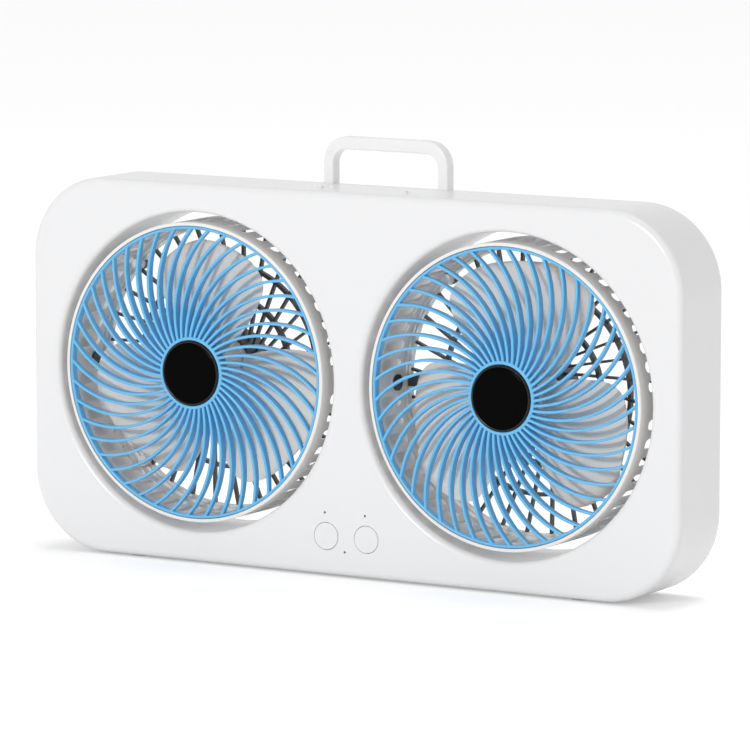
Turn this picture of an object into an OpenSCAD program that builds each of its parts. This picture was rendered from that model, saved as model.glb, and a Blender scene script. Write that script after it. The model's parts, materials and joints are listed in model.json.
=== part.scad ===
// Dual-head desk fan: a box frame with two tilting fan heads, a pull-out handle and two push buttons.
// Front is -Y, up is +Z, and the origin lies on the desk under the middle of the fan.

/* [Frame box] */
// Width of the column between the two round openings
column_w = 20; // [20:1:40]
// Width of the frame outside each opening
side_border = 19; // [18:1:40]
// Height of the frame above the openings
top_border = 17; // [16:1:30]
// Height of the frame below the openings
bottom_border = 18; // [17:1:30]
// Depth of the frame, front face to back face
frame_d = 55; // [50:1:60]
// Radius of the four corners seen from the front
corner_r = 49; // [30:1:60]
// Wall thickness of both shells
wall = 2.4; // [1.8:0.1:3]
// Rounding of the front edge
front_round = 4; // [2:0.5:4.5]
// Rounding of the back edge
back_round = 8; // [4:0.5:9]
// Rounding of the front edge of each opening
opening_round = 3.5; // [2:0.5:4]
// Distance from the front face back to the joint between the shells
seam_depth = 17; // [15:1:18]
// Height of the rubber feet below the frame
foot_h = 1.2; // [1:0.1:3]
// Radius of the rubber feet
foot_r = 5; // [4:0.5:5.5]

/* [Fan heads] */
// Distance from the frame's front face back to the heads' tilt axis
pivot_depth = 25; // [24:0.5:28]
// Outer radius of each fan head
head_r = 89.2; // [86:0.2:100]
// Open gap between a head and its opening
head_gap = 5.8; // [5:0.2:9]
// Wall thickness of the head's drum
drum_wall = 2; // [1.6:0.1:2.6]
// How far the head stands proud of the front face
head_proud = 1; // [0.5:0.1:2]
// Length of the drum, front to back
drum_d = 44; // [42:1:53]
// Number of slot places round the drum
slot_places = 50; // [40:2:54]
// Width of each slot in the drum
slot_w = 6.6; // [4:0.1:7]
// Distance from the drum's front edge to the slots
slot_start = 10.5; // [9.5:0.5:12]
// Distance from the slots to the drum's back edge
slot_end = 11.5; // [10.5:0.5:13]

/* [Front grille] */
// Number of curved ribs
rib_count = 45; // [24:1:48]
// Thickness of each rib
rib_w = 1.7; // [1:0.1:1.9]
// Depth of each rib, front to back
rib_d = 5.5; // [3:0.5:6]
// Radius of each rib's curve seen from the front
rib_bow_r = 66; // [60:1:75]
// Distance of the rib curve's centre from the head's centre
rib_bow_offset = 65.2; // [60:0.2:70]
// Depth of the grille's outer ring
grille_ring_d = 5; // [4.5:0.5:7]
// Width of the grille's outer ring
grille_ring_w = 1.8; // [1.6:0.1:3]
// How far the grille's centre stands in front of its edge
grille_rise = 2.5; // [1:0.1:4]
// Radius of the grille's centre disc
grille_hub_r = 21.5; // [20.8:0.1:26]
// Radius of the black hub cap
cap_r = 18; // [15:0.5:18.5]
// How far the hub cap stands in front of the grille
cap_proud = 1.2; // [0.6:0.1:2]

/* [Back grille] */
// Number of straight spokes
spoke_count = 32; // [16:1:36]
// Width of each spoke
spoke_w = 1.5; // [1.2:0.1:3]
// Distance by which each spoke passes the grille's centre
spoke_offset = 11; // [0:1:14]
// Depth of the spokes and rings
spoke_d = 3.5; // [2.5:0.5:4]
// Radius of the inner ring, middle of its width
inner_ring_r = 42; // [36:1:50]
// Radius of the outer ring, middle of its width
outer_ring_r = 61; // [55:1:70]
// Width of the inner ring
inner_ring_w = 2.4; // [1.6:0.2:4]
// Width of the outer ring
outer_ring_w = 2.2; // [1.6:0.2:5]
// Width of the arm that carries the motor lead to the pivot
lead_arm_w = 7; // [4:0.5:9]
// Outer radius of the motor cup
cup_r = 21; // [20:0.5:24]
// How far the motor cup stands behind the drum
cup_drop = 9.7; // [8.5:0.1:11]

/* [Impeller and motor] */
// Radius of the impeller over its blade tips
blade_tip_r = 77; // [60:1:79]
// Number of blades
blade_count = 3; // [2:1:3]
// Thickness of each blade
blade_t = 1.6; // [1.2:0.1:2]
// Angle covered by a blade at the hub
blade_root_angle = 108; // [60:1:110]
// Angle covered by a blade at its tip
blade_tip_angle = 78; // [60:1:86]
// Depth of the impeller, front to back
blade_d = 19; // [14:1:20]
// Radius of the impeller's hub
hub_r = 19.5; // [17:0.5:20]
// Radius of the motor can
motor_r = 18.2; // [16:0.1:18.2]
// Length of the motor can
motor_len = 19; // [16:0.5:20]
// Radius of the motor shaft
shaft_r = 1.5; // [1:0.1:2.5]

/* [Tilt pivots] */
// Radius of the pivot pins
pin_r = 3; // [2:0.1:3.2]
// Radius of the bosses round the pivot pins
boss_r = 5.6; // [5:0.1:5.8]
// Thickness of the washer between head and frame
washer_t = 1; // [0.6:0.1:1.4]

/* [Handle] */
// Outer width of the handle
handle_w = 84; // [70:1:90]
// Height of the pulled-out handle above the frame
handle_rise = 28; // [24:0.2:31]
// Height of the grip bar
bar_h = 7.6; // [6.8:0.1:8.4]
// Width of each leg
leg_w = 6.5; // [5:0.1:7]
// Depth of the handle, front to back
handle_d = 8.2; // [7.2:0.1:9]
// Outer corner radius of the handle
handle_corner_r = 15; // [10:0.5:18]
// Distance from the handle to the frame's back face
handle_inset = 2.8; // [2.5:0.1:6]
// Height of the slider block on each leg
slider_h = 10; // [8:0.5:12]

/* [Buttons and lights] */
// Radius of the push buttons
button_r = 8; // [6:0.1:9]
// Distance between the button centres
button_pitch = 27.2; // [24:0.2:32]
// Height of the button centres above the frame's bottom
button_h = 23; // [20:0.5:25]
// Travel of the push buttons
button_travel = 0.8; // [0.4:0.1:0.8]
// Radius of the indicator light holes
light_r = 0.7; // [0.5:0.1:1.2]
// Height of the two upper lights above the frame's bottom
upper_light_h = 36.9; // [36:0.1:39]
// Height of the lower light above the frame's bottom
lower_light_h = 14.4; // [10:0.1:15]
// Sideways shift of the lights from the buttons
light_shift = -1; // [-2:0.1:2]

/* [Power] */
// Radius of a battery cell
cell_r = 9.2; // [8:0.1:9.2]
// Length of a battery cell
cell_len = 65; // [50:1:65]
// Width of the control board
board_w = 56; // [46:1:56]
// Height of the control board
board_h = 36; // [30:1:36]
// Thickness of the control board
board_t = 1.6; // [1:0.2:2]
// Width of the charging inlet
inlet_w = 9; // [8:0.5:10]
// Height of the charging inlet
inlet_h = 3.2; // [3:0.1:4]

/* [Hidden] */
$fn = 96;

// Clearances
clear = 0.3;
shaft_clear = 0.05;
// Overlap that makes joined shapes share material
join = 0.4;
// Longer than any part, for cuts that run right through
far = 200;

// Frame
open_r = head_r + head_gap;
head_x = column_w / 2 + open_r;
frame_w = 2 * (head_x + open_r + side_border);
frame_h = 2 * open_r + top_border + bottom_border;
head_z = foot_h + bottom_border + open_r;
top_z = foot_h + frame_h;
front = pivot_depth;
back = front - frame_d;
seam = front - seam_depth;
collar_r = open_r + wall;
opening_back_round = 2;
foot_x = 150;
front_foot_z = (seam + front - front_round) / 2;
back_foot_z = back + back_round + foot_r + 0.5;
foot_sink = 0.8;

// Shell screws
screw_r = 1.5;
screw_head_r = 2.8;
screw_head_h = 2;
screw_head_drop = 0.6;
screw_bite = 7;
sleeve_r = 4.5;
post_r = 4;
corner_inset = 22;
screw_x = frame_w / 2 - corner_inset;
screw_low = foot_h + corner_inset;
screw_high = top_z - corner_inset;
mid_screw_low = foot_h + 62;
mid_screw_high = top_z - 14;
screw_places = [[-screw_x, screw_low], [screw_x, screw_low], [-screw_x, screw_high],
    [screw_x, screw_high], [0, mid_screw_low], [0, mid_screw_high]];

// Snap tabs and pry slots on the top seam
tab_x = 28.7;
tab_r = 1.7;
tab_h = 1.4;
pry_slot_w = 7;
pry_slot_h = 0.8;

// Fan head, measured from the head's centre with its face up
drum_ir = head_r - drum_wall;
drum_round = 0.6;
drum_front = front + head_proud;
drum_back = drum_front - drum_d;
grille_r = drum_ir - clear;
grille_back = drum_front - grille_ring_d;
ledge_w = grille_ring_w;
ledge_t = 1.5;
slot_front = drum_front - slot_start;
slot_back = drum_back + slot_end;
back_grille_recess = 1.5;
back_grille_z = drum_back + back_grille_recess;
back_rim_w = 3;
back_rim_t = 3.5;
back_ledge_z = back_grille_z + back_rim_t;
back_screw_r = 1.3;
back_screw_head_r = 2.2;
back_ear_r = 3.6;
back_screw_at = drum_ir - 3.1;
back_post_r = 3.2;
back_post_h = slot_back - back_ledge_z - 1;
back_screw_angle = 6.5 * 360 / slot_places;
// Share of a pitch by which the first spoke is turned
spoke_start = 0.06;

// Front grille
hub_front = drum_front + grille_rise;
hub_plate_t = 4;
cap_seat = 2;
bezel_w = 1.3;
rim_drop = 0.4;
// Share of a pitch by which the first rib is turned
rib_start = 0.775;
// Radius at which a rib's own outline crosses angle 0
rib_zero_r = 80;

// Pivots
pad_face = head_r + 0.6;
boss_tip = pad_face + washer_t + clear;
boss_in = 3;
bush_wall = 1.4;
bush_r = pin_r + bush_wall;
bush_flange_r = bush_r + 1;
bush_flange_t = 1;
frame_boss_r = boss_r + 0.8;
frame_boss_back = collar_r + 1.2;
pin_flange_t = 1.2;
pin_flange_r = pin_r + 1.8;
pin_end = frame_boss_back + 0.6;

// Motor and impeller
cup_back = drum_back - cup_drop;
cup_floor = 2.5;
motor_back = cup_back + cup_floor;
motor_front = motor_back + motor_len;
cup_front = motor_front + 0.5;
can_t = 1.2;
bearing_r = 3;
bearing_len = 3;
rotor_r = motor_r - can_t - 2.5;
rotor_gap = 1.2;
blade_back = cup_front + 1.5;
blade_front = blade_back + blade_d;
hub_front_z = blade_front + 2;
nut_r = 4;
nut_h = 4;
shaft_front = hub_front_z + nut_h + 0.5;
motor_screw_r = 1.2;
motor_screw_at = 10;
motor_screw_head_r = 2;
// Angle of the first blade, anticlockwise from the right as seen from the front
blade_start = 90.7;

// Handle
leg_x = handle_w / 2 - leg_w / 2;
handle_back = back + handle_inset;
handle_front = handle_back + handle_d;
handle_top = top_z + handle_rise;
handle_fillet = handle_corner_r - leg_w;
// The handle goes down until its inner corners meet the roof
handle_travel = handle_rise - bar_h - handle_fillet - clear;
slider_w = leg_w + 3.2;
roof = 2 * wall;
slider_top = top_z - roof - clear;
fork = 3;
slider_bottom = slider_top - slider_h;
channel_half = slider_w / 2 + clear;
channel_wall = 2;
channel_floor = slider_bottom - handle_travel - 1;

// Buttons, board and power
button_x = button_pitch / 2;
button_proud = 0.4;
button_flange = 1.6;
button_flange_t = 1.2;
stem_r = 2;
switch_w = 6;
switch_h = 3.4;
plunger_r = 1.6;
plunger_h = 1.2;
stem_end = front - wall - button_flange_t - clear - 1.8;
board_front = stem_end - button_travel - clear - plunger_h - switch_h;
board_low = foot_h + 9;
chip_w = board_h / 3;
chip_t = 1.4;
plug_x = board_w * 0.3;
plug_w = board_w / 6;
plug_h = board_h / 6;
plug_t = 5;
light_recess = 0.6;
cell_pitch = 2 * cell_r + 0.6;
holder_wall = 1.5;
holder_low = foot_h + wall + clear;
holder_back = back + back_round + clear;
cell_low = holder_low + holder_wall + cell_r + clear;
cell_y = holder_back + holder_wall + cell_r + clear;
inlet_z = foot_h + 52;
inlet_len = 8;
inlet_wall = 1.5;

// Turns a shape drawn face up (x right, y up, z to the front) to stand in the fan
module upright() {
    rotate([90, 0, 0]) children();
}

// Outline of a rectangle with round corners, its lower edge at y0
module round_rect(w, y0, y1, r) {
    translate([-w / 2 + r, y0]) square([w - 2 * r, y1 - y0]);
    translate([-w / 2, y0 + r]) square([w, y1 - y0 - 2 * r]);
    for (x = [-w / 2 + r, w / 2 - r], y = [y0 + r, y1 - r])
        translate([x, y]) circle(r);
}

// Section through a slab from z0 to z1, with its edges rounded by f0 and f1
module slab_section(half, z0, z1, f0, f1) {
    translate([0, z0 + f0]) square([half, z1 - z0 - f0 - f1]);
    if (f0 > 0) {
        translate([0, z0]) square([half - f0, f0 + join]);
        translate([half - f0, z0 + f0]) circle(f0);
    }
    if (f1 > 0) {
        translate([0, z1 - f1 - join]) square([half - f1, f1 + join]);
        translate([half - f1, z1 - f1]) circle(f1);
    }
}

module full_section(half, z0, z1, f0, f1) {
    slab_section(half, z0, z1, f0, f1);
    mirror([1, 0]) slab_section(half, z0, z1, f0, f1);
}

// Slab with round corners and rounded edges, face up
module soft_slab(w, y0, y1, r, z0, z1, f0, f1) {
    for (x = [-w / 2 + r, w / 2 - r], y = [y0 + r, y1 - r])
        translate([x, y, 0]) rotate_extrude() slab_section(r, z0, z1, f0, f1);
    translate([-w / 2 + r, (y0 + y1) / 2, 0])
        rotate([90, 0, 90]) linear_extrude(w - 2 * r)
            full_section((y1 - y0) / 2, z0, z1, f0, f1);
    translate([0, y1 - r, 0])
        rotate([90, 0, 0]) linear_extrude(y1 - y0 - 2 * r)
            full_section(w / 2, z0, z1, f0, f1);
}

// Round opening whose rim at flare_z is rounded off, cut from z0 to z1
module flared_hole(z0, z1, flare_z, flare, dir) {
    rotate_extrude($fn = 180) {
        translate([0, z0]) square([open_r, z1 - z0]);
        difference() {
            translate([open_r - 1, dir > 0 ? flare_z - flare : z0])
                square([flare + 1, dir > 0 ? z1 - flare_z + flare : flare_z + flare - z0]);
            translate([open_r + flare, flare_z - dir * (flare + 0.05)]) circle(flare);
        }
    }
}

// Hollow inside a shell, its edge at z0 rounded, leaving the collars round both openings
module shell_cavity(z0, z1, round) {
    difference() {
        soft_slab(frame_w - 2 * wall, foot_h + wall, top_z - wall, corner_r - wall, z0, z1, round, 0);
        for (side = [-1, 1])
            translate([side * head_x, head_z, z0 - 1]) cylinder(r = collar_r, h = z1 - z0 + 2, $fn = 180);
    }
}

module stadium(w, len) {
    translate([-w / 2, -len / 2 + w / 2]) square([w, len - w]);
    for (y = [-len / 2 + w / 2, len / 2 - w / 2]) translate([0, y]) circle(w / 2, $fn = 32);
}

// Turns z to run outward along the tilt axis, to +X at end 1 and to -X at end -1
module along_axis(end) {
    rotate([0, end * 90, 0]) children();
}

// Frame

module screw_post_holes(z0, h, r) {
    for (p = screw_places) translate([p[0], p[1], z0]) cylinder(r = r, h = h, $fn = 48);
}

module pry_slots() {
    for (x = [-tab_x, tab_x])
        translate([x + tab_r + 0.4, top_z - 1.2, seam - pry_slot_h / 2])
            cube([pry_slot_w, 2, pry_slot_h]);
}

module feet(r) {
    for (x = [-foot_x, foot_x], z = [back_foot_z, front_foot_z])
        translate([x, 0, z]) rotate([-90, 0, 0]) cylinder(r = r, h = foot_h + foot_sink);
}

module button_places() {
    for (side = [-1, 1]) translate([side * button_x, foot_h + button_h, 0]) children();
}

module light_places() {
    for (side = [-1, 1]) translate([side * button_x + light_shift, foot_h + upper_light_h, 0]) children();
    translate([light_shift, foot_h + lower_light_h, 0]) children();
}

module front_shell() {
    color("white") upright() difference() {
        union() {
            difference() {
                soft_slab(frame_w, foot_h, top_z, corner_r, seam, front, 0, front_round);
                shell_cavity(seam - 1, front - wall, 0);
            }
            screw_post_holes(seam, front - wall - seam + join, post_r);
            for (x = [-1, 1], y = [board_low + 3, board_low + board_h - 3])
                translate([x * (board_w / 2 - 3), y, board_front + clear])
                    cylinder(r = 2.5, h = front - wall - board_front);
        }
        for (side = [-1, 1])
            translate([side * head_x, head_z, 0])
                flared_hole(seam - 1, front + 1, front, opening_round, 1);
        screw_post_holes(seam - 1, 9.5, screw_r + shaft_clear);
        button_places() translate([0, 0, front - wall - 1]) cylinder(r = button_r + clear, h = wall + 2);
        light_places() translate([0, 0, front - wall - 1]) cylinder(r = light_r, h = wall + 2, $fn = 24);
        feet(foot_r + shaft_clear);
        pry_slots();
    }
}

// Solid block round one handle leg's guide channel
module channel_block(x) {
    translate([x - channel_half - channel_wall, channel_floor - channel_wall, back])
        cube([2 * (channel_half + channel_wall), top_z - channel_floor + channel_wall,
            handle_front + clear + channel_wall - back]);
}

// Space the leg and its slider run in
module channel_space(x) {
    translate([x - channel_half, channel_floor, handle_back - clear])
        cube([2 * channel_half, top_z - roof - channel_floor, handle_d + 2 * clear]);
    translate([x - leg_w / 2 - clear, top_z - roof - 1, handle_back - clear])
        cube([leg_w + 2 * clear, roof + 2, handle_d + 2 * clear]);
}

module frame_pivot_boss(side, end, extra) {
    translate([side * head_x, head_z, 0]) along_axis(end) translate([0, 0, boss_tip])
        cylinder(r = frame_boss_r, h = frame_boss_back + extra - boss_tip);
}

module inlet_pocket() {
    reach = clear + inlet_wall;
    translate([-inlet_w / 2 - reach, inlet_z - inlet_h / 2 - reach, back])
        cube([inlet_w + 2 * reach, inlet_h + 2 * reach, inlet_len + inlet_wall + 1.5]);
}

module rear_shell() {
    color("white") upright() difference() {
        union() {
            difference() {
                soft_slab(frame_w, foot_h, top_z, corner_r, back, seam, back_round, 0);
                difference() {
                    shell_cavity(back + wall, seam + 1, back_round - wall);
                    screw_post_holes(back, frame_d, sleeve_r);
                    for (x = [-leg_x, leg_x]) channel_block(x);
                    for (side = [-1, 1], end = [-1, 1]) frame_pivot_boss(side, end, 0);
                    inlet_pocket();
                }
            }
            for (x = [-tab_x, tab_x])
                translate([x, top_z - 1, seam - tab_r]) rotate([-90, 0, 0])
                    cylinder(r = tab_r, h = tab_h + 1, $fn = 32);
        }
        for (side = [-1, 1]) difference() {
            translate([side * head_x, head_z, 0])
                flared_hole(back - 1, seam + 1, back, opening_back_round, -1);
            for (end = [-1, 1]) frame_pivot_boss(side, end, 1);
        }
        for (side = [-1, 1], end = [-1, 1])
            translate([side * head_x, head_z, 0]) along_axis(end) translate([0, 0, boss_tip - 1])
                cylinder(r = bush_r + shaft_clear, h = frame_boss_back + 2 - boss_tip);
        screw_post_holes(back - 1, frame_d, screw_r + clear);
        screw_post_holes(back - 1, screw_head_h + screw_head_drop + 1, screw_head_r + clear);
        for (x = [-leg_x, leg_x]) channel_space(x);
        translate([-inlet_w / 2 - clear, inlet_z - inlet_h / 2 - clear, back - 1])
            cube([inlet_w + 2 * clear, inlet_h + 2 * clear, inlet_len + 0.6]);
        feet(foot_r + shaft_clear);
        pry_slots();
    }
}

// A round-headed screw along z: head from z to z + head_h, shaft on to z_end
module screw(r, head_r, head_h, z, z_end) {
    difference() {
        translate([0, 0, z]) cylinder(r = head_r, h = head_h, $fn = 48);
        for (a = [0, 90]) rotate([0, 0, a])
            translate([-head_r * 0.6, -0.35, z - 1]) cube([head_r * 1.2, 0.7, 1.9]);
    }
    translate([0, 0, z + head_h - 0.2]) cylinder(r = r, h = z_end - z - head_h + 0.2, $fn = 32);
}

module shell_screws() {
    color("silver") upright() for (p = screw_places) translate([p[0], p[1], 0])
        screw(screw_r, screw_head_r, screw_head_h, back + screw_head_drop, seam + screw_bite);
}

module rubber_feet() {
    color("dimgray") upright() feet(foot_r);
}

module control_board() {
    color("darkgreen") upright() {
        translate([-board_w / 2, board_low, board_front - board_t]) cube([board_w, board_h, board_t]);
        translate([-chip_w / 2, board_low + chip_w, board_front - board_t - chip_t])
            cube([chip_w, chip_w, chip_t + join]);
        for (x = [-plug_x, plug_x])
            translate([x - plug_w / 2, board_low + plug_h, board_front - board_t - plug_t])
                cube([plug_w, plug_h, plug_t + join]);
    }
}

module button_switches() {
    color("dimgray") upright() button_places() {
        translate([-switch_w / 2, -switch_w / 2, board_front]) cube([switch_w, switch_w, switch_h]);
        translate([0, 0, board_front + switch_h - join])
            cylinder(r = plunger_r, h = plunger_h + join, $fn = 48);
    }
}

module indicator_lights() {
    color("lightgray") upright() light_places() {
        translate([0, 0, board_front]) cylinder(r = 1.3, h = front - wall - clear - board_front, $fn = 32);
        translate([0, 0, front - wall - clear - join])
            cylinder(r = light_r - shaft_clear, h = wall + clear + join - light_recess, $fn = 24);
    }
}

module cell_centres() {
    for (i = [0, 1]) translate([0, cell_low + i * cell_pitch, cell_y]) rotate([0, 90, 0]) children();
}

module battery_holder() {
    outer = cell_len + 2 * (clear + holder_wall);
    color("dimgray") upright() {
        translate([-outer / 2, holder_low, holder_back])
            cube([outer, cell_low + cell_pitch - holder_low, holder_wall]);
        translate([-outer / 2, holder_low, holder_back]) cube([outer, holder_wall, 2 * cell_r + 4]);
        translate([-outer / 2, holder_low, holder_back + 2 * cell_r + 2 * clear + holder_wall])
            cube([outer, 7, holder_wall]);
        for (side = [-1, 1])
            translate([side > 0 ? outer / 2 - holder_wall : -outer / 2, holder_low, holder_back])
                cube([holder_wall, cell_low + cell_pitch - holder_low, 2 * cell_r]);
    }
}

module battery_cells() {
    color("steelblue") upright() cell_centres() {
        translate([0, 0, -cell_len / 2]) cylinder(r = cell_r, h = cell_len - 1);
        translate([0, 0, cell_len / 2 - 1.5]) cylinder(r = 2.8, h = 1.5, $fn = 48);
    }
}

module charging_inlet() {
    color("silver") upright() translate([0, inlet_z, back + 0.4]) {
        difference() {
            linear_extrude(inlet_len - 1.1) rotate([0, 0, 90]) stadium(inlet_h, inlet_w);
            translate([0, 0, -1]) linear_extrude(inlet_len - 1.4) rotate([0, 0, 90])
                stadium(inlet_h - 0.7, inlet_w - 0.7);
        }
        translate([-inlet_w / 2 + 1.6, -0.35, 0.8]) cube([inlet_w - 3.2, 0.7, inlet_len - 2]);
    }
}

// Places a shape on all four pivots, z outward along the tilt axis
module all_pivots() {
    for (side = [-1, 1], end = [-1, 1])
        translate([side * head_x, head_z, 0]) along_axis(end) children();
}

module pivot_bushes() {
    color("tan") upright() all_pivots() difference() {
        union() {
            translate([0, 0, boss_tip]) cylinder(r = bush_r, h = frame_boss_back + bush_flange_t - boss_tip);
            translate([0, 0, frame_boss_back]) cylinder(r = bush_flange_r, h = bush_flange_t);
        }
        translate([0, 0, boss_tip - 1]) cylinder(r = pin_r + shaft_clear, h = 20);
    }
}

module friction_washers() {
    color("dimgray") upright() all_pivots() translate([0, 0, boss_tip - washer_t]) difference() {
        cylinder(r = boss_r, h = washer_t);
        translate([0, 0, -1]) cylinder(r = pin_r + clear, h = washer_t + 2);
    }
}

// Handle

module handle() {
    color("white") upright() translate([0, 0, handle_back]) linear_extrude(handle_d) difference() {
        round_rect(handle_w, slider_top - fork - handle_corner_r, handle_top, handle_corner_r);
        translate([0, -1]) round_rect(handle_w - 2 * leg_w, slider_top - fork - handle_corner_r - 20,
            handle_top - bar_h + 1, handle_fillet);
        translate([-handle_w, slider_top - fork - far]) square([2 * handle_w, far]);
    }
}

module handle_sliders() {
    color("dimgray") upright() for (x = [-leg_x, leg_x]) difference() {
        translate([x - slider_w / 2, slider_bottom, handle_back]) cube([slider_w, slider_h, handle_d]);
        translate([x - leg_w / 2 - shaft_clear, slider_top - fork, handle_back - 1])
            cube([leg_w + 2 * shaft_clear, fork + 1, handle_d + 2]);
    }
}

// Buttons

module push_button(side) {
    flange_back = front - wall - clear - button_flange_t;
    color("white") upright() translate([side * button_x, foot_h + button_h, 0]) rotate_extrude() {
        translate([0, flange_back]) square([button_r + button_flange, button_flange_t]);
        translate([0, stem_end]) square([stem_r, flange_back - stem_end + join]);
        slab_section(button_r, flange_back + join, front + button_proud, 0, 0.5);
    }
}

module left_button() {
    push_button(-1);
}

module right_button() {
    push_button(1);
}

// Fan heads, drawn for the left one and mirrored for the right one

module head(side) {
    translate([side * head_x, 0, head_z]) upright() {
        if (side < 0) children();
        else mirror([1, 0, 0]) children();
    }
}

module ring(r_in, r_out, z0, z1) {
    rotate_extrude($fn = 180) translate([r_in, z0]) square([r_out - r_in, z1 - z0]);
}

module drum(side) {
    pitch = 360 / slot_places;
    color("white") head(side) difference() {
        union() {
            difference() {
                rotate_extrude($fn = 180) {
                    translate([drum_ir, drum_back]) square([drum_wall, drum_d - drum_round]);
                    translate([drum_ir, drum_front - 1]) square([drum_wall - drum_round, 1]);
                    translate([head_r - drum_round, drum_front - drum_round]) circle(drum_round);
                    translate([drum_ir - ledge_w, grille_back - clear - ledge_t])
                        square([ledge_w + join, ledge_t]);
                    translate([drum_ir - ledge_w, back_ledge_z + 0.25]) square([ledge_w + join, ledge_t]);
                }
                for (k = [1 : slot_places - 1]) if (k != slot_places / 2)
                    rotate([0, 0, k * pitch]) translate([drum_ir - 4, 0, (slot_front + slot_back) / 2])
                        rotate([90, 0, 90]) linear_extrude(drum_wall + 6)
                            stadium(slot_w, slot_front - slot_back);
            }
            for (end = [-1, 1]) along_axis(end)
                translate([0, 0, drum_ir - boss_in + pin_flange_t])
                    cylinder(r = boss_r, h = pad_face - drum_ir + boss_in - pin_flange_t);
            for (k = [0 : 3]) rotate([0, 0, back_screw_angle + 90 * k])
                translate([back_screw_at, 0, back_ledge_z])
                    cylinder(r = back_post_r, h = back_post_h, $fn = 48);
        }
        for (end = [-1, 1]) along_axis(end) translate([0, 0, drum_ir - boss_in])
            cylinder(r = pin_r + shaft_clear, h = boss_in + 10);
        for (k = [0 : 3]) rotate([0, 0, back_screw_angle + 90 * k])
            translate([back_screw_at, 0, back_ledge_z - 1])
                cylinder(r = back_screw_r + shaft_clear, h = back_post_h + 0.5, $fn = 32);
    }
}

// Angle from the rib's middle line to its point at radius r
function rib_angle(r) =
    acos((r * r + rib_bow_offset * rib_bow_offset - rib_bow_r * rib_bow_r) / (2 * r * rib_bow_offset));

// One rib seen from the front
module rib_outline() {
    rotate([0, 0, -rib_angle(rib_zero_r)]) intersection() {
        translate([rib_bow_offset, 0]) difference() {
            circle(rib_bow_r + rib_w / 2, $fn = 180);
            circle(rib_bow_r - rib_w / 2, $fn = 180);
        }
        translate([-far / 10, 2]) square(far);
    }
}

module front_grille(side) {
    ring_in = grille_r - grille_ring_w;
    color("deepskyblue") head(side) {
        ring(ring_in, grille_r, grille_back, drum_front);
        difference() {
            ring(0.01, grille_hub_r, hub_front - hub_plate_t, hub_front);
            translate([0, 0, hub_front - cap_seat])
                cylinder(r = cap_r + bezel_w + 2 * shaft_clear, h = cap_seat + 1);
        }
        intersection() {
            for (i = [0 : rib_count - 1]) rotate([0, 0, (i + rib_start) * 360 / rib_count])
                translate([0, 0, grille_back - 1]) linear_extrude(hub_front - grille_back + 2) rib_outline();
            rotate_extrude($fn = 180) polygon([
                [grille_hub_r - join, hub_front - rib_d], [grille_hub_r - join, hub_front - rim_drop],
                [ring_in + join, drum_front - rim_drop], [ring_in + join, grille_back + rim_drop / 2]]);
        }
    }
}

module cap_bezel(side) {
    color("silver") head(side)
        ring(cap_r + shaft_clear, cap_r + bezel_w, hub_front - cap_seat, hub_front + cap_proud - 0.5);
}

module hub_cap(side) {
    color("black") head(side) rotate_extrude()
        slab_section(cap_r, hub_front - cap_seat, hub_front + cap_proud, 0, 1);
}

module back_grille(side) {
    rim_out = drum_ir - clear;
    rim_in = rim_out - back_rim_w;
    spoke_start_x = sqrt(pow(cup_r - 1, 2) - pow(spoke_offset, 2)) - 1;
    spoke_end_x = sqrt(pow(rim_in + 1.5, 2) - pow(spoke_offset, 2));
    color("dimgray") head(side) difference() {
        union() {
            ring(rim_in, rim_out, back_grille_z, back_ledge_z);
            ring(inner_ring_r - inner_ring_w / 2, inner_ring_r + inner_ring_w / 2,
                back_grille_z, back_grille_z + spoke_d);
            ring(outer_ring_r - outer_ring_w / 2, outer_ring_r + outer_ring_w / 2,
                back_grille_z, back_grille_z + spoke_d);
            for (i = [0 : spoke_count - 1]) rotate([0, 0, (i + spoke_start) * 360 / spoke_count])
                translate([spoke_start_x, -spoke_offset - spoke_w / 2, back_grille_z + 0.3])
                    cube([spoke_end_x - spoke_start_x, spoke_w, spoke_d - 0.6]);
            translate([cup_r - 1, -lead_arm_w / 2, back_grille_z + 0.6])
                cube([rim_in + 1 - cup_r + 1, lead_arm_w, spoke_d + 0.7]);
            translate([0, 0, cup_back]) cylinder(r = cup_r, h = cup_front - cup_back);
            intersection() {
                for (k = [0 : 3]) rotate([0, 0, back_screw_angle + 90 * k])
                    translate([back_screw_at, 0, back_grille_z + 0.15])
                        cylinder(r = back_ear_r, h = back_rim_t - 0.3, $fn = 48);
                translate([0, 0, back_grille_z]) cylinder(r = rim_out - 0.1, h = back_rim_t, $fn = 180);
            }
        }
        translate([0, 0, cup_back + cup_floor]) cylinder(r = motor_r + clear, h = cup_front - cup_back);
        for (k = [0 : 3]) rotate([0, 0, back_screw_angle + 90 * k]) translate([back_screw_at, 0, 0]) {
            translate([0, 0, back_grille_z - 1]) {
                cylinder(r = back_screw_r + 0.2, h = back_rim_t + 2, $fn = 32);
                cylinder(r = back_screw_head_r + 0.2, h = 2.8, $fn = 48);
            }
        }
        for (x = [-motor_screw_at, motor_screw_at]) translate([x, 0, cup_back - 1]) {
            cylinder(r = motor_screw_r + 0.2, h = cup_floor + 2, $fn = 32);
            cylinder(r = motor_screw_head_r + 0.2, h = 2.2, $fn = 48);
        }
    }
}

module back_screws(side) {
    color("silver") head(side) for (k = [0 : 3]) rotate([0, 0, back_screw_angle + 90 * k])
        translate([back_screw_at, 0, 0])
            screw(back_screw_r, back_screw_head_r, 1.4, back_grille_z + 0.4, back_ledge_z + back_post_h - 1);
}

module pivot_pins(side) {
    color("black") head(side) for (end = [-1, 1]) along_axis(end) {
        translate([0, 0, drum_ir - boss_in]) cylinder(r = pin_flange_r, h = pin_flange_t);
        translate([0, 0, drum_ir - boss_in]) cylinder(r = pin_r, h = pin_end - drum_ir + boss_in);
    }
}

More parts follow.
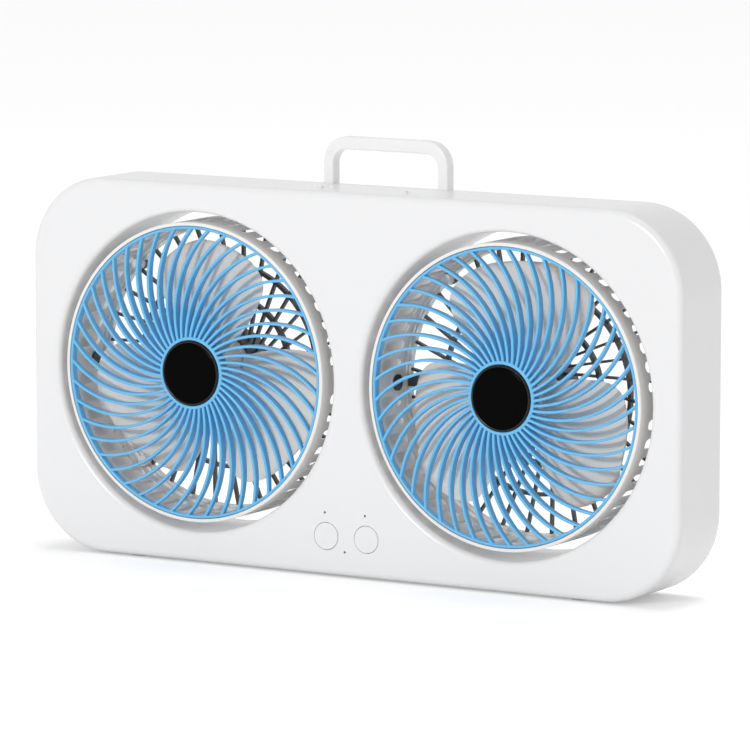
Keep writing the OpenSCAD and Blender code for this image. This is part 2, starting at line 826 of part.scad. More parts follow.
module motor_can(side) {
    color("gray") head(side) difference() {
        translate([0, 0, motor_back]) cylinder(r = motor_r, h = motor_len);
        difference() {
            translate([0, 0, motor_back + 2]) cylinder(r = motor_r - can_t, h = motor_len - 4);
            translate([0, 0, motor_back + 1]) cylinder(r = bearing_r + 2, h = bearing_len + 0.5);
            translate([0, 0, motor_front - bearing_len - 1.5])
                cylinder(r = bearing_r + 2, h = bearing_len + 1);
        }
        translate([0, 0, motor_back + 1]) cylinder(r = bearing_r + shaft_clear, h = bearing_len + 5);
        translate([0, 0, motor_front - bearing_len - 1])
            cylinder(r = bearing_r + shaft_clear, h = bearing_len + 2);
        translate([0, 0, motor_back + 2]) cylinder(r = shaft_r + 0.6, h = motor_len);
        for (x = [-motor_screw_at, motor_screw_at])
            translate([x, 0, motor_back - 1]) cylinder(r = motor_screw_r + shaft_clear, h = 4, $fn = 32);
    }
}

module motor_bearings(side) {
    color("silver") head(side) {
        ring(shaft_r + shaft_clear, bearing_r, motor_back + 1.2, motor_back + 1.2 + bearing_len);
        ring(shaft_r + shaft_clear, bearing_r, motor_front - bearing_len - 0.7, motor_front - 0.7);
    }
}

module motor_screws(side) {
    color("silver") head(side) for (x = [-motor_screw_at, motor_screw_at]) translate([x, 0, 0])
        screw(motor_screw_r, motor_screw_head_r, 1, cup_back + 0.2, motor_back + 1.8);
}

module motor_rotor(side) {
    end_space = bearing_len + 1.5 + rotor_gap;
    color("goldenrod") head(side)
        ring(shaft_r + shaft_clear, rotor_r, motor_back + end_space, motor_front - end_space);
}

module shaft(side) {
    color("silver") head(side) translate([0, 0, motor_back + 1.4])
        cylinder(r = shaft_r, h = shaft_front - motor_back - 1.4, $fn = 48);
}

// Blade stations from hub to tip and from leading edge to trailing edge
blade_rows = 12;
blade_cols = 10;
function row_s(i) = i < 2 ? i * 0.08 : sin(90 * (i - 1) / (blade_rows - 2)) * 0.92 + 0.08;
function blade_half(s) = (blade_root_angle * (1 - s) + blade_tip_angle * s) / 2 * sqrt(1 - 0.9 * pow(s, 8));
function blade_z(s, u) = (blade_back + blade_front) / 2
    - (blade_d / 2 - blade_t) * u * (1 - 0.3 * s) + 1.6 * (1 - u * u) * s;
function blade_point(i, j, top) =
    let (s = min(1, row_s(i)), u = 2 * j / blade_cols - 1)
    let (r = hub_r - 1 + s * (blade_tip_r - hub_r + 1), a = u * blade_half(s))
    [r * cos(a), r * sin(a), blade_z(s, u) + (top ? blade_t / 2 : -blade_t / 2)];

module blade() {
    n = blade_cols + 1;
    m = blade_rows * n;
    points = concat(
        [for (i = [0 : blade_rows - 1], j = [0 : blade_cols]) blade_point(i, j, true)],
        [for (i = [0 : blade_rows - 1], j = [0 : blade_cols]) blade_point(i, j, false)]);
    faces = concat(
        [for (i = [0 : blade_rows - 2], j = [0 : blade_cols - 1])
            [i * n + j, i * n + j + 1, (i + 1) * n + j + 1]],
        [for (i = [0 : blade_rows - 2], j = [0 : blade_cols - 1])
            [i * n + j, (i + 1) * n + j + 1, (i + 1) * n + j]],
        [for (i = [0 : blade_rows - 2], j = [0 : blade_cols - 1])
            [m + i * n + j, m + (i + 1) * n + j + 1, m + i * n + j + 1]],
        [for (i = [0 : blade_rows - 2], j = [0 : blade_cols - 1])
            [m + i * n + j, m + (i + 1) * n + j, m + (i + 1) * n + j + 1]],
        [for (i = [0 : blade_rows - 2]) [i * n, (i + 1) * n, m + i * n]],
        [for (i = [0 : blade_rows - 2]) [(i + 1) * n, m + (i + 1) * n, m + i * n]],
        [for (i = [0 : blade_rows - 2]) [i * n + n - 1, m + i * n + n - 1, (i + 1) * n + n - 1]],
        [for (i = [0 : blade_rows - 2]) [(i + 1) * n + n - 1, m + i * n + n - 1, m + (i + 1) * n + n - 1]],
        [for (j = [0 : blade_cols - 1]) [j, m + j, j + 1]],
        [for (j = [0 : blade_cols - 1]) [j + 1, m + j, m + j + 1]],
        [for (j = [0 : blade_cols - 1]) [m - n + j, m - n + j + 1, 2 * m - n + j]],
        [for (j = [0 : blade_cols - 1]) [m - n + j + 1, 2 * m - n + j + 1, 2 * m - n + j]]);
    polyhedron(points, faces);
}

module impeller(side) {
    color("gainsboro") head(side) difference() {
        union() {
            difference() {
                translate([0, 0, blade_back]) cylinder(r = hub_r, h = hub_front_z - blade_back);
                translate([0, 0, blade_back - 1]) cylinder(r = hub_r - 2, h = hub_front_z - blade_back - 1);
            }
            translate([0, 0, blade_back + 1]) cylinder(r = shaft_r + 2.5, h = hub_front_z - blade_back - 1);
            for (k = [0 : blade_count - 1]) rotate([0, 0, blade_start + k * 360 / blade_count]) blade();
        }
        translate([0, 0, blade_back - 1])
            cylinder(r = shaft_r + shaft_clear, h = hub_front_z - blade_back + 2, $fn = 48);
    }
}

module impeller_nut(side) {
    color("gray") head(side) translate([0, 0, hub_front_z]) difference() {
        cylinder(r = nut_r, h = nut_h, $fn = 6);
        translate([0, 0, -1]) cylinder(r = shaft_r + shaft_clear, h = nut_h + 2, $fn = 48);
    }
}

// Left and right copies

module left_drum() {
    drum(-1);
}

module left_front_grille() {
    front_grille(-1);
}

module left_cap_bezel() {
    cap_bezel(-1);
}

module left_hub_cap() {
    hub_cap(-1);
}

module left_back_grille() {
    back_grille(-1);
}

module left_back_screws() {
    back_screws(-1);
}

module left_pivot_pins() {
    pivot_pins(-1);
}

module left_motor_can() {
    motor_can(-1);
}

module left_motor_bearings() {
    motor_bearings(-1);
}

module left_motor_screws() {
    motor_screws(-1);
}

module left_motor_rotor() {
    motor_rotor(-1);
}

module left_shaft() {
    shaft(-1);
}

module left_impeller() {
    impeller(-1);
}

module left_impeller_nut() {
    impeller_nut(-1);
}

module right_drum() {
    drum(1);
}

module right_front_grille() {
    front_grille(1);
}

module right_cap_bezel() {
    cap_bezel(1);
}

module right_hub_cap() {
    hub_cap(1);
}

module right_back_grille() {
    back_grille(1);
}

module right_back_screws() {
    back_screws(1);
}

module right_pivot_pins() {
    pivot_pins(1);
}

module right_motor_can() {
    motor_can(1);
}

module right_motor_bearings() {
    motor_bearings(1);
}

module right_motor_screws() {
    motor_screws(1);
}

module right_motor_rotor() {
    motor_rotor(1);
}

module right_shaft() {
    shaft(1);
}

module right_impeller() {
    impeller(1);
}

module right_impeller_nut() {
    impeller_nut(1);
}

front_shell();
rear_shell();
shell_screws();
rubber_feet();
control_board();
button_switches();
indicator_lights();
battery_holder();
battery_cells();
charging_inlet();
pivot_bushes();
friction_washers();
handle();
handle_sliders();
left_button();
right_button();
left_drum();
left_front_grille();
left_cap_bezel();
left_hub_cap();
left_back_grille();
left_back_screws();
left_pivot_pins();
left_motor_can();
left_motor_bearings();
left_motor_screws();
left_motor_rotor();
left_shaft();
left_impeller();
left_impeller_nut();
right_drum();
right_front_grille();
right_cap_bezel();
right_hub_cap();
right_back_grille();
right_back_screws();
right_pivot_pins();
right_motor_can();
right_motor_bearings();
right_motor_screws();
right_motor_rotor();
right_shaft();
right_impeller();
right_impeller_nut();
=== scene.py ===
"""Looks of the dual-head desk fan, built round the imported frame, in metres and in the frame of the CAD."""

import json
import math

import bpy
from mathutils import Matrix, Vector

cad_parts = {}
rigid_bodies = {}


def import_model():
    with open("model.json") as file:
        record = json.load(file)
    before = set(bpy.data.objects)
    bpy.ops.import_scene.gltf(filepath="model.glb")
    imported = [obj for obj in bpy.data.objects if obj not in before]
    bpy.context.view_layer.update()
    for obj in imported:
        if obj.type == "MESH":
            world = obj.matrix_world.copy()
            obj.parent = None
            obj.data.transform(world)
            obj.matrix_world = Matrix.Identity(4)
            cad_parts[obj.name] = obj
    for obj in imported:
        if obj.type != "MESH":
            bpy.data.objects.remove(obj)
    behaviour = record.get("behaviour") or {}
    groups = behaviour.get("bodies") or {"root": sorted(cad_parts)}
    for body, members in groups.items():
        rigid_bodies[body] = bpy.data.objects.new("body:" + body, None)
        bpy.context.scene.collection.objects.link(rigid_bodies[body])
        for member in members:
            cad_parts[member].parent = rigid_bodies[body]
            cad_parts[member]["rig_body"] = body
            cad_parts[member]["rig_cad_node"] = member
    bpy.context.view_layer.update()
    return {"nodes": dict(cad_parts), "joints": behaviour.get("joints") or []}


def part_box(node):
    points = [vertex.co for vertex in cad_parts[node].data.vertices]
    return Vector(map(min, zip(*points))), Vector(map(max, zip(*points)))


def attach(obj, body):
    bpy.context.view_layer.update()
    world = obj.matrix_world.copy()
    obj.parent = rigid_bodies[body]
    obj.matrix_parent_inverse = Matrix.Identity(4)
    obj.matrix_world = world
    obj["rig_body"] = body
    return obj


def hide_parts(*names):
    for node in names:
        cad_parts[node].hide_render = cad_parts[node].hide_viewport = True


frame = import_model()
nodes = frame["nodes"]

MM = 0.001
SIDES = ("left", "right")

# Where things are, read from the frame
front_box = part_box("front_shell")
drum_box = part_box("left_drum")
grille_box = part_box("left_front_grille")
cap_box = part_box("left_hub_cap")
bezel_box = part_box("left_cap_bezel")
impeller_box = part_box("left_impeller")
tilt = next(joint for joint in frame["joints"] if joint["name"] == "left_tilt")
HEAD_X = abs(tilt["pos_m"][0])
HEAD_Z = tilt["pos_m"][2]

# Depths along the head's own axis, forward from its centre, and radii about it, in millimetres
DRUM_FRONT = -drum_box[0].y / MM
HUB_FRONT = -grille_box[0].y / MM
GRILLE_BACK = -grille_box[1].y / MM
GRILLE_R = (grille_box[1].x - grille_box[0].x) / 2 / MM
CAP_R = (cap_box[1].x - cap_box[0].x) / 2 / MM
CAP_FRONT = -cap_box[0].y / MM
BEZEL_R = (bezel_box[1].x - bezel_box[0].x) / 2 / MM
BEZEL_FRONT = -bezel_box[0].y / MM
IMPELLER_FRONT = -impeller_box[0].y / MM
IMPELLER_BACK = -impeller_box[1].y / MM

# Radius at which a turned outline ends at the axis, and the rounding of plain edges, in millimetres
AXIS_R = 0.01
EDGE_R = 0.3

# Front grille's outer ring, its hub ring and the pocket in that for the bezel, in millimetres
RING_W = 1.8
RING_IN = GRILLE_R - RING_W
RING_OUTER_EDGE_R = 0.7
RING_INNER_EDGE_R = 0.9
HUB_R = 21.5
HUB_EDGE_R = 0.7
HUB_PLATE = 4.0
POCKET_GAP = 0.1
POCKET_DEPTH = 2.0

# Front grille's ribs, in millimetres: arcs of radius RIB_BOW_R about points RIB_BOW_OFFSET from the axis,
# which run a little into both rings
RIB_COUNT = 45
RIB_W = 1.7
RIB_BOW_R = 66.0
RIB_BOW_OFFSET = 65.2
RIB_EDGE_R = 0.55
RIB_SIDE = 2.0
RIB_BACK_HALF = RIB_W * 0.42
RIB_BACK_LIFT = 1.4
RIB_SINK = 0.35
RIB_DOME = 0.8
RIB_IN_HUB = 0.5
RIB_IN_RING = 1.2

# Turn of the first rib, as a share of the step between ribs, and the radius at which it is measured
RIB_PHASE = 0.775
RIB_PHASE_R = 80

# Cap and bezel, in millimetres
CAP_RISE = 0.5
CAP_DOME_INSET = 1.1
CAP_EDGE_R = 1.0
CAP_SEAT = 1.9
BEZEL_GAP = 0.05
BEZEL_RIM = 0.4
BEZEL_CHAMFER = 0.5
BEZEL_LIP = 0.1
BEZEL_RIM_EDGE_R = 0.2
BEZEL_LIP_EDGE_R = 0.05

# Place on the arc of the cap's round edge, from its side upward, where the dome ends
CAP_EDGE_START = math.radians(80)

# Back grille's outermost ring, with a little to spare, in millimetres
BACK_RIM_W = 3.3

# Impeller, with its lengths in millimetres
BLADE_COUNT = 3
BLADE_HUB_R = 19.5
BLADE_TIP_R = 77.0
BLADE_ROOT_DEPTH = 1.0
BLADE_T = 1.6
BLADE_EDGE = 0.3
BLADE_EDGE_SHARE = 0.25
BLADE_ARCH = 1.6
BLADE_RECESS = 2.0
BLADE_ROOT_ANGLE = math.radians(108)
BLADE_TIP_ANGLE = math.radians(76)
BLADE_START = math.radians(90.7)
CUP_WALL = 2.0
CUP_EDGE_R = 1.5

# How squarely a blade ends: the share of its squared width that its very tip lacks, and the powers that keep
# its tip and its edges full until late
TIP_LOSS = 0.93
TIP_POWER = 14
EDGE_POWER = 10

# Index of refraction of every material
IOR = 1.48

# Rounding of the handle's and the buttons' edges, in millimetres
HANDLE_EDGE_R = 1.2
BUTTON_EDGE_R = 0.3

# Softening of CAD nodes: the reach that joins doubled points, in metres, and the least angle that is rounded
WELD_REACH = 0.000002
BEVEL_ANGLE = math.radians(40)

# Floor, and the sun that lights only the floor
FLOOR_REACH = 12.0
FLOOR_GREY = 0.8
FLOOR_ROUGHNESS = 0.9
FLOOR_GLOW = 0.3
SUN_STRENGTH = 0.75
SUN_SPREAD = math.radians(30)
SUN_LEAN = math.radians(-12)

# Even light all round, and the backdrop that the camera sees, where 1 is white
WORLD_LIGHT = 0.58
BACKDROP = 1.0

# Soft square lights, each with its place, its side in metres and its power in watts, aimed at one point
LIGHT_AIM = (0, 0, 0.12)
LIGHTS = {
    "key": ((-0.5, -3.4, 1.0), 0.25, 36),
    "overhead": ((0.3, 0.1, 2.4), 1.2, 6),
    "fill": ((2.4, -0.2, 0.8), 1.2, 2.5),
}

# Camera: its direction from the fan, its distance and aim in metres, and its lens and sensor in millimetres
CAMERA_AZIMUTH = math.radians(30.64)
CAMERA_ELEVATION = math.radians(7.64)
CAMERA_ROLL = math.radians(0.07)
CAMERA_DISTANCE = 3.28331
CAMERA_AIM_X = 0.01942
CAMERA_AIM_HEIGHT = 0.12020
CAMERA_LENS = 272.15
CAMERA_SENSOR = 36.0
CAMERA_NEAR = 0.1
CAMERA_FAR = 60


# Colours and materials


def linear(level):
    """Linear share of an sRGB level given from 0 to 255."""
    if level <= 10:
        return level / 255 / 12.92
    return ((level / 255 + 0.055) / 1.055) ** 2.4


def srgb(r, g, b):
    """Linear colour of an sRGB colour given from 0 to 255."""
    return linear(r), linear(g), linear(b), 1.0


def material(name, colour, roughness, metallic=0.0, specular=0.5):
    """A Principled material with one plain colour."""
    made = bpy.data.materials.new(name)
    made.use_nodes = True
    shader = made.node_tree.nodes["Principled BSDF"]
    shader.inputs["Base Color"].default_value = colour
    shader.inputs["Roughness"].default_value = roughness
    shader.inputs["Metallic"].default_value = metallic
    shader.inputs["IOR"].default_value = IOR
    shader.inputs["Specular IOR Level"].default_value = specular
    return made


white_shell = material("white_shell", srgb(240, 240, 241), 0.25)
white_drum = material("white_drum", srgb(241, 239, 236), 0.4)
white_handle = material("white_handle", srgb(245, 245, 245), 0.2)
white_button = material("white_button", srgb(240, 240, 241), 0.3)
blue_plastic = material("blue_plastic", srgb(110, 191, 238), 0.3)
charcoal_plastic = material("charcoal_plastic", srgb(74, 76, 79), 0.5)
impeller_plastic = material("impeller_plastic", srgb(246, 235, 225), 0.45)
black_gloss = material("black_gloss", srgb(3, 3, 4), 0.2, specular=0.03)
dark_trim = material("dark_trim", srgb(14, 14, 15), 0.25, specular=0.3)
black_plastic = material("black_plastic", srgb(28, 28, 30), 0.5)
rubber = material("rubber", srgb(30, 30, 31), 0.8)
foot_rubber = material("foot_rubber", srgb(200, 200, 200), 0.7)
steel = material("steel", srgb(190, 192, 196), 0.3, metallic=1.0)
hole_dark = material("hole_dark", srgb(30, 30, 32), 0.6)
board_green = material("board_green", srgb(28, 98, 56), 0.5)
cell_blue = material("cell_blue", srgb(62, 108, 168), 0.4)
bronze = material("bronze", srgb(168, 128, 80), 0.4, metallic=1.0)
bush_plastic = material("bush_plastic", srgb(225, 218, 200), 0.5)

LOOKS = {
    "front_shell": white_shell, "rear_shell": white_shell, "shell_screws": steel, "rubber_feet": foot_rubber,
    "control_board": board_green, "button_switches": black_plastic, "indicator_lights": hole_dark,
    "battery_holder": black_plastic, "battery_cells": cell_blue, "charging_inlet": steel,
    "pivot_bushes": bush_plastic, "friction_washers": rubber, "handle": white_handle,
    "handle_sliders": black_plastic, "left_button": white_button, "right_button": white_button,
}
HEAD_LOOKS = {
    "drum": white_drum, "front_grille": blue_plastic, "cap_bezel": dark_trim, "hub_cap": black_gloss,
    "back_grille": charcoal_plastic, "back_screws": steel, "pivot_pins": black_plastic, "motor_can": steel,
    "motor_bearings": bronze, "motor_screws": steel, "motor_rotor": bronze, "shaft": steel,
    "impeller": impeller_plastic, "impeller_nut": steel,
}
for side in SIDES:
    for part, look in HEAD_LOOKS.items():
        LOOKS[side + "_" + part] = look
for name, look in LOOKS.items():
    nodes[name].data.materials.clear()
    nodes[name].data.materials.append(look)


def pale_rim(node):
    """Gives a back grille's outermost ring the colour of the drum that it closes."""
    low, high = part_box(node)
    centre_x = (low.x + high.x) / 2
    inner = (high.x - low.x) / 2 - BACK_RIM_W * MM
    grille = nodes[node]
    grille.data.materials.append(white_drum)
    for face in grille.data.polygons:
        spot = grille.matrix_world @ face.center
        if math.hypot(spot.x - centre_x, spot.z - HEAD_Z) > inner:
            face.material_index = 1


for side in SIDES:
    pale_rim(side + "_back_grille")


# Shape helpers


class Form:
    """Collects a shape's points, in millimetres and drawn face up, and its faces."""

    def __init__(self):
        self.points = []
        self.faces = []

    def add_rows(self, rows, close_rows=False, close_ends=False):
        """Joins rows of points with quads.

        close_rows joins the last row to the first, and close_ends joins each row's last point to its first.
        """
        start = len(self.points)
        width = len(rows[0])
        for row in rows:
            self.points.extend(row)
        row_count = len(rows)
        for i in range(row_count if close_rows else row_count - 1):
            for j in range(width if close_ends else width - 1):
                a = start + i * width + j
                b = start + i * width + (j + 1) % width
                c = start + (i + 1) % row_count * width + (j + 1) % width
                d = start + (i + 1) % row_count * width + j
                self.faces.append((a, b, c, d))

    def add_face(self, points):
        """Adds one flat face."""
        start = len(self.points)
        self.points.extend(points)
        self.faces.append(tuple(range(start, start + len(points))))


def on_circle(r, angle):
    """Point at a radius and an angle about the axis."""
    return r * math.cos(angle), r * math.sin(angle)


def spun(x, y, angle):
    """Point turned about the axis by an angle."""
    return x * math.cos(angle) - y * math.sin(angle), x * math.sin(angle) + y * math.cos(angle)


def rounded(corners, steps=4):
    """Points of an outline. Each corner is (x, y, radius), and a radius above 0 rounds it."""
    outline = []
    count = len(corners)
    for i, (x, y, radius) in enumerate(corners):
        here = Vector((x, y))
        if radius <= 0:
            outline.append((x, y))
            continue
        before = Vector(corners[i - 1][:2]) - here
        after = Vector(corners[(i + 1) % count][:2]) - here
        half = before.angle(after) / 2
        reach = radius / math.tan(half)
        start = here + before.normalized() * reach
        end = here + after.normalized() * reach
        middle = (before.normalized() + after.normalized()).normalized()
        centre = here + middle * radius / math.sin(half)
        first = math.atan2(start.y - centre.y, start.x - centre.x)
        last = math.atan2(end.y - centre.y, end.x - centre.x)
        turn = (last - first + math.pi) % (2 * math.pi) - math.pi
        for k in range(steps + 1):
            across, up = on_circle(radius, first + turn * k / steps)
            outline.append((centre.x + across, centre.y + up))
    return outline


def turned(form, outline, segments=160, closed=True):
    """Turns an outline of (radius, height) points about the axis."""
    rows = []
    for k in range(segments):
        angle = 2 * math.pi * k / segments
        rows.append([(*on_circle(r, angle), z) for r, z in outline])
    form.add_rows(rows, close_rows=True, close_ends=closed)


def head_matrix(side):
    """Takes a shape drawn face up about the left head's axis to that head, mirrored for the right one."""
    sign = -1 if side == "left" else 1
    return Matrix(((-sign * MM, 0, 0, sign * HEAD_X), (0, 0, -MM, 0), (0, MM, 0, HEAD_Z), (0, 0, 0, 1)))


def piece(name, form, matrix, look, body, replaced, sharp):
    """Makes a mesh object of a form, which rides on a body and stands for the replaced nodes.

    It is smooth except where its faces meet at more than sharp degrees.
    """
    mesh = bpy.data.meshes.new(name)
    mesh.from_pydata([matrix @ Vector(p) for p in form.points], [], form.faces)
    if matrix.determinant() < 0:
        mesh.flip_normals()
    mesh.validate()
    made = bpy.data.objects.new(name, mesh)
    bpy.context.scene.collection.objects.link(made)
    mesh.materials.append(look)
    mesh.shade_smooth()
    mesh.set_sharp_from_angle(angle=math.radians(sharp))
    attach(made, body)
    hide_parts(*replaced)


def softened(node, width, segments):
    """A copy of a CAD node with its edges rounded, which stands for it."""
    source = nodes[node]
    made = source.copy()
    made.data = source.data.copy()
    made.name = node + "_rounded"
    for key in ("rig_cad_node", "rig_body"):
        del made[key]
    made.parent = None
    bpy.context.scene.collection.objects.link(made)
    weld = made.modifiers.new("weld", "WELD")
    weld.merge_threshold = WELD_REACH
    bevel = made.modifiers.new("bevel", "BEVEL")
    bevel.limit_method = "ANGLE"
    bevel.angle_limit = BEVEL_ANGLE
    bevel.width = width
    bevel.segments = segments
    normals = made.modifiers.new("normals", "WEIGHTED_NORMAL")
    normals.keep_sharp = True
    body = source["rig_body"]
    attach(made, body)
    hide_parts(node)


# Front grilles


def rib_turn(r):
    """Angle round the rib's own curve at which it lies at radius r."""
    cosine = (r * r - RIB_BOW_OFFSET ** 2 - RIB_BOW_R ** 2) / (2 * RIB_BOW_OFFSET * RIB_BOW_R)
    return math.acos(cosine)


def rib_angle(r):
    """Angle from the rib curve's middle line to its point at radius r."""
    return math.acos((r * r + RIB_BOW_OFFSET ** 2 - RIB_BOW_R ** 2) / (2 * r * RIB_BOW_OFFSET))


def rib_front(r):
    """Height of the ribs' front edge at radius r."""
    share = (r - HUB_R) / (RING_IN - HUB_R)
    edge = HUB_FRONT - (HUB_FRONT - DRUM_FRONT) * share
    return edge - RIB_SINK + RIB_DOME * math.sin(math.pi * min(1, max(0, share)))


def rib_edge():
    """Round front edge of a rib, as points across it and their height from its front."""
    half = RIB_W / 2
    corners = [(-half, -RIB_SIDE, 0), (-half, 0, RIB_EDGE_R), (half, 0, RIB_EDGE_R), (half, -RIB_SIDE, 0)]
    return rounded(corners, steps=3)[1:-1]


def add_rib(form, turn, stations=18):
    """One curved rib: a slim section with a round front edge, swept along its arc."""
    first = rib_turn(HUB_R - RIB_IN_HUB)
    last = rib_turn(RING_IN + RIB_IN_RING)
    front_edge = rib_edge()
    spin = turn - rib_angle(RIB_PHASE_R)
    back = GRILLE_BACK + RIB_BACK_LIFT
    rows = []
    for k in range(stations + 1):
        t = first + (last - first) * k / stations
        curve_x, curve_y = on_circle(RIB_BOW_R, t)
        curve_x += RIB_BOW_OFFSET
        front = rib_front(math.hypot(curve_x, curve_y))
        section = [(across, front + height) for across, height in front_edge]
        section += [(RIB_BACK_HALF, back), (-RIB_BACK_HALF, back)]
        row = []
        for across, z in section:
            x = curve_x + math.cos(t) * across
            y = curve_y + math.sin(t) * across
            row.append((*spun(x, y, spin), z))
        rows.append(row)
    form.add_rows(rows, close_ends=True)


def front_grille(side):
    """Blue outer ring, hub ring and curved ribs."""
    form = Form()
    turned(form, rounded([(RING_IN, GRILLE_BACK, EDGE_R), (GRILLE_R, GRILLE_BACK, EDGE_R),
                          (GRILLE_R, DRUM_FRONT, RING_OUTER_EDGE_R),
                          (RING_IN, DRUM_FRONT, RING_INNER_EDGE_R)]))
    pocket = BEZEL_R + POCKET_GAP
    floor = HUB_FRONT - POCKET_DEPTH
    back = HUB_FRONT - HUB_PLATE
    edges = rounded([(HUB_R, back, EDGE_R), (HUB_R, HUB_FRONT, HUB_EDGE_R), (pocket, HUB_FRONT, EDGE_R)])
    turned(form, [(AXIS_R, back)] + edges + [(pocket, floor), (AXIS_R, floor)], closed=False)
    for i in range(RIB_COUNT):
        add_rib(form, math.radians((i + RIB_PHASE) * 360 / RIB_COUNT))
    piece(side + "_grille_blue", form, head_matrix(side), blue_plastic, side + "_head",
          [side + "_front_grille"], sharp=50)


def cap(side):
    """Black cap with a low dome and a round edge."""
    form = Form()
    outline = []
    dome_steps = 8
    for k in range(dome_steps + 1):
        r = (CAP_R - CAP_DOME_INSET) * k / dome_steps
        outline.append((max(r, AXIS_R), CAP_FRONT - CAP_RISE * (r / CAP_R) ** 2))
    edge_steps = 6
    for k in range(edge_steps + 1):
        across, up = on_circle(CAP_EDGE_R, CAP_EDGE_START * (1 - k / edge_steps))
        outline.append((CAP_R - CAP_EDGE_R + across, CAP_FRONT - CAP_RISE - CAP_EDGE_R + up))
    outline.append((CAP_R, HUB_FRONT - CAP_SEAT))
    turned(form, outline, closed=False)
    piece(side + "_cap_black", form, head_matrix(side), black_gloss, side + "_head",
          [side + "_hub_cap"], sharp=60)


def bezel(side):
    """Dark ring round the cap."""
    form = Form()
    inner = CAP_R + BEZEL_GAP
    seat = HUB_FRONT - CAP_SEAT
    turned(form, rounded([(inner, seat, 0), (BEZEL_R, seat, 0),
                          (BEZEL_R, BEZEL_FRONT - BEZEL_CHAMFER, EDGE_R),
                          (CAP_R + BEZEL_RIM, BEZEL_FRONT, BEZEL_RIM_EDGE_R),
                          (inner, BEZEL_FRONT - BEZEL_LIP, BEZEL_LIP_EDGE_R)]))
    piece(side + "_bezel_ring", form, head_matrix(side), dark_trim, side + "_head",
          [side + "_cap_bezel"], sharp=50)


# Impellers


def blade_half(s):
    """Half the angle that a blade covers, from its hub (s = 0) to its tip (s = 1)."""
    full = BLADE_ROOT_ANGLE * (1 - s) + BLADE_TIP_ANGLE * s
    return full / 2 * math.sqrt(1 - TIP_LOSS * s ** TIP_POWER)


def blade_height(s, u):
    """Height of a blade's middle surface, u going from -1 at one edge to 1 at the other."""
    blade_front = IMPELLER_FRONT - BLADE_RECESS
    middle = (IMPELLER_BACK + blade_front) / 2
    half = (blade_front - IMPELLER_BACK) / 2 - BLADE_EDGE
    return middle - half * u + BLADE_ARCH * (1 - u * u) * s


def blade_half_thickness(s, u):
    """Half a blade's thickness, which thins out at its edges and tip."""
    near_edge = math.sqrt(max(0, 1 - abs(u) ** EDGE_POWER)) * math.sqrt(max(0, 1 - s ** TIP_POWER))
    return BLADE_T / 2 * (BLADE_EDGE_SHARE + (1 - BLADE_EDGE_SHARE) * near_edge)


def add_blade(form, turn, rows=26, columns=24):
    """One wide blade with thin round edges."""
    root = BLADE_HUB_R - BLADE_ROOT_DEPTH
    loops = []
    for i in range(rows + 1):
        s = math.sin(math.pi / 2 * i / rows)
        r = root + s * (BLADE_TIP_R - root)
        top = []
        bottom = []
        for j in range(columns + 1):
            u = -math.cos(math.pi * j / columns)
            x, y = on_circle(r, turn + u * blade_half(s))
            z = blade_height(s, u)
            thick = blade_half_thickness(s, u)
            top.append((x, y, z + thick))
            bottom.append((x, y, z - thick))
        loops.append(top + bottom[::-1])
    form.add_rows(loops, close_ends=True)
    form.add_face(loops[-1][::-1])


def impeller(side):
    """Hub cup and wide blades."""
    form = Form()
    front = IMPELLER_FRONT
    back = IMPELLER_BACK
    inside = BLADE_HUB_R - CUP_WALL
    floor = front - CUP_WALL
    wall = rounded([(BLADE_HUB_R, front, CUP_EDGE_R), (BLADE_HUB_R, back, EDGE_R), (inside, back, EDGE_R)])
    turned(form, [(AXIS_R, front)] + wall + [(inside, floor), (AXIS_R, floor)], segments=96, closed=False)
    for k in range(BLADE_COUNT):
        add_blade(form, BLADE_START + 2 * math.pi * k / BLADE_COUNT)
    piece(side + "_impeller_blades", form, head_matrix(side), impeller_plastic, side + "_impeller",
          [side + "_impeller"], sharp=40)


for side in SIDES:
    front_grille(side)
    cap(side)
    bezel(side)
    impeller(side)

softened("handle", HANDLE_EDGE_R * MM, segments=4)
for side in SIDES:
    softened(side + "_button", BUTTON_EDGE_R * MM, segments=3)


# Floor, light and camera


def seen_by_camera(tree):
    """Socket that is 1 for camera rays, also where they are mirrored or pass through, and 0 for light."""
    path = tree.nodes.new("ShaderNodeLightPath")
    mirrored = tree.nodes.new("ShaderNodeMath")
    mirrored.operation = "MAXIMUM"
    passed = tree.nodes.new("ShaderNodeMath")
    passed.operation = "MAXIMUM"
    tree.links.new(path.outputs["Is Camera Ray"], mirrored.inputs[0])
    tree.links.new(path.outputs["Is Glossy Ray"], mirrored.inputs[1])
    tree.links.new(mirrored.outputs[0], passed.inputs[0])
    tree.links.new(path.outputs["Is Transmission Ray"], passed.inputs[1])
    return passed.outputs[0]


def floor_look():
    """Pale matt material that glows a little for the camera, so that it reads as the backdrop."""
    look = bpy.data.materials.new("floor_white")
    look.use_nodes = True
    shader = look.node_tree.nodes["Principled BSDF"]
    shader.inputs["Base Color"].default_value = (FLOOR_GREY, FLOOR_GREY, FLOOR_GREY, 1)
    shader.inputs["Roughness"].default_value = FLOOR_ROUGHNESS
    shader.inputs["Specular IOR Level"].default_value = 0.0
    shader.inputs["Emission Color"].default_value = (1, 1, 1, 1)
    shown = seen_by_camera(look.node_tree)
    share = look.node_tree.nodes.new("ShaderNodeMath")
    share.operation = "MULTIPLY"
    share.inputs[1].default_value = FLOOR_GLOW
    look.node_tree.links.new(shown, share.inputs[0])
    look.node_tree.links.new(share.outputs[0], shader.inputs["Emission Strength"])
    return look


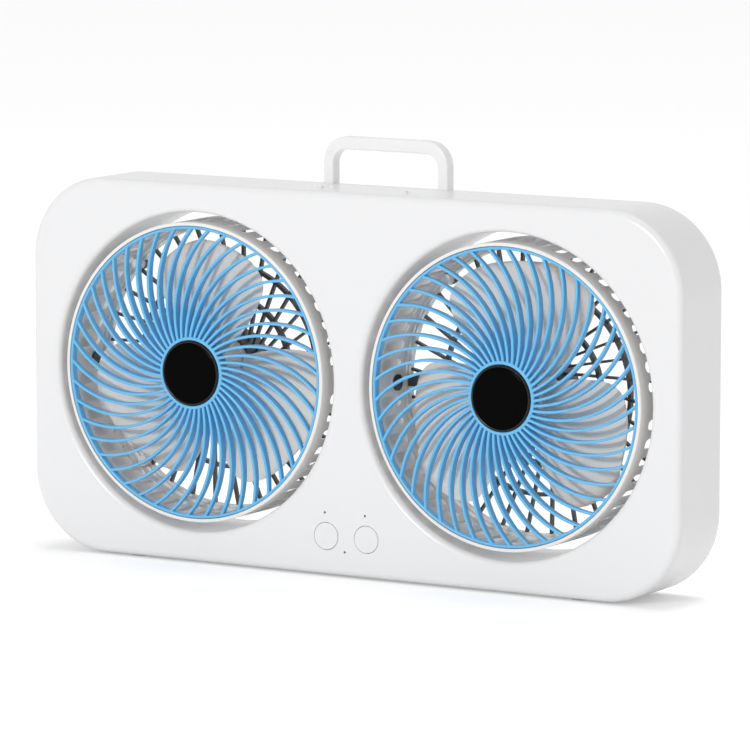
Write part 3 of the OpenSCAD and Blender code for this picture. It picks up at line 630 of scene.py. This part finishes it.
def make_floor():
    """Pale floor, with a soft sun of its own for the shadow at the fan's base."""
    mesh = bpy.data.meshes.new("floor")
    reach = FLOOR_REACH
    corners = [(-reach, -reach, 0), (reach, -reach, 0), (reach, reach, 0), (-reach, reach, 0)]
    mesh.from_pydata(corners, [], [(0, 1, 2, 3)])
    mesh.materials.append(floor_look())
    floor = bpy.data.objects.new("floor", mesh)
    lit = bpy.data.collections.new("floor_only")
    bpy.context.scene.collection.children.link(lit)
    lit.objects.link(floor)
    data = bpy.data.lights.new("floor_sun", "SUN")
    data.energy = SUN_STRENGTH
    data.angle = SUN_SPREAD
    light = bpy.data.objects.new("floor_sun", data)
    bpy.context.scene.collection.objects.link(light)
    light.rotation_euler = (SUN_LEAN, 0, 0)
    light.light_linking.receiver_collection = lit


def background(tree, strength):
    """A plain white background of some strength."""
    made = tree.nodes.new("ShaderNodeBackground")
    made.inputs["Color"].default_value = (1, 1, 1, 1)
    made.inputs["Strength"].default_value = strength
    return made


def make_world():
    """Plain white backdrop for the camera and reflections, and even soft light for everything else."""
    world = bpy.data.worlds.new("studio")
    bpy.context.scene.world = world
    world.use_nodes = True
    tree = world.node_tree
    tree.nodes.clear()
    output = tree.nodes.new("ShaderNodeOutputWorld")
    mix = tree.nodes.new("ShaderNodeMixShader")
    tree.links.new(seen_by_camera(tree), mix.inputs[0])
    tree.links.new(background(tree, WORLD_LIGHT).outputs[0], mix.inputs[1])
    tree.links.new(background(tree, BACKDROP).outputs[0], mix.inputs[2])
    tree.links.new(mix.outputs[0], output.inputs[0])


def area_light(name, place, size, power):
    """A soft square light at a place, pointed at the fan."""
    data = bpy.data.lights.new(name, "AREA")
    data.shape = "SQUARE"
    data.size = size
    data.energy = power
    light = bpy.data.objects.new(name, data)
    bpy.context.scene.collection.objects.link(light)
    light.location = place
    light.rotation_mode = "QUATERNION"
    light.rotation_quaternion = (Vector(LIGHT_AIM) - Vector(place)).to_track_quat("-Z", "Y")


def make_camera():
    """Camera at the photograph's own angle, distance and lens."""
    data = bpy.data.cameras.new("camera")
    data.sensor_width = CAMERA_SENSOR
    data.lens = CAMERA_LENS
    data.clip_start = CAMERA_NEAR
    data.clip_end = CAMERA_FAR
    camera = bpy.data.objects.new("camera", data)
    bpy.context.scene.collection.objects.link(camera)
    level = math.cos(CAMERA_ELEVATION)
    back = Vector((math.sin(CAMERA_AZIMUTH) * level, -math.cos(CAMERA_AZIMUTH) * level,
                   math.sin(CAMERA_ELEVATION)))
    right = Vector((math.cos(CAMERA_AZIMUTH), math.sin(CAMERA_AZIMUTH), 0))
    up = back.cross(right)
    turned_right = right * math.cos(CAMERA_ROLL) + up * math.sin(CAMERA_ROLL)
    turned_up = up * math.cos(CAMERA_ROLL) - right * math.sin(CAMERA_ROLL)
    target = Vector((CAMERA_AIM_X, front_box[0].y, front_box[0].z + CAMERA_AIM_HEIGHT))
    place = target + back * CAMERA_DISTANCE
    camera.matrix_world = Matrix((
        (turned_right.x, turned_up.x, back.x, place.x),
        (turned_right.y, turned_up.y, back.y, place.y),
        (turned_right.z, turned_up.z, back.z, place.z),
        (0, 0, 0, 1)))
    bpy.context.scene.camera = camera


make_floor()
make_world()
for name, (place, size, power) in LIGHTS.items():
    area_light(name, place, size, power)
make_camera()
bpy.context.scene.view_settings.view_transform = "Standard"
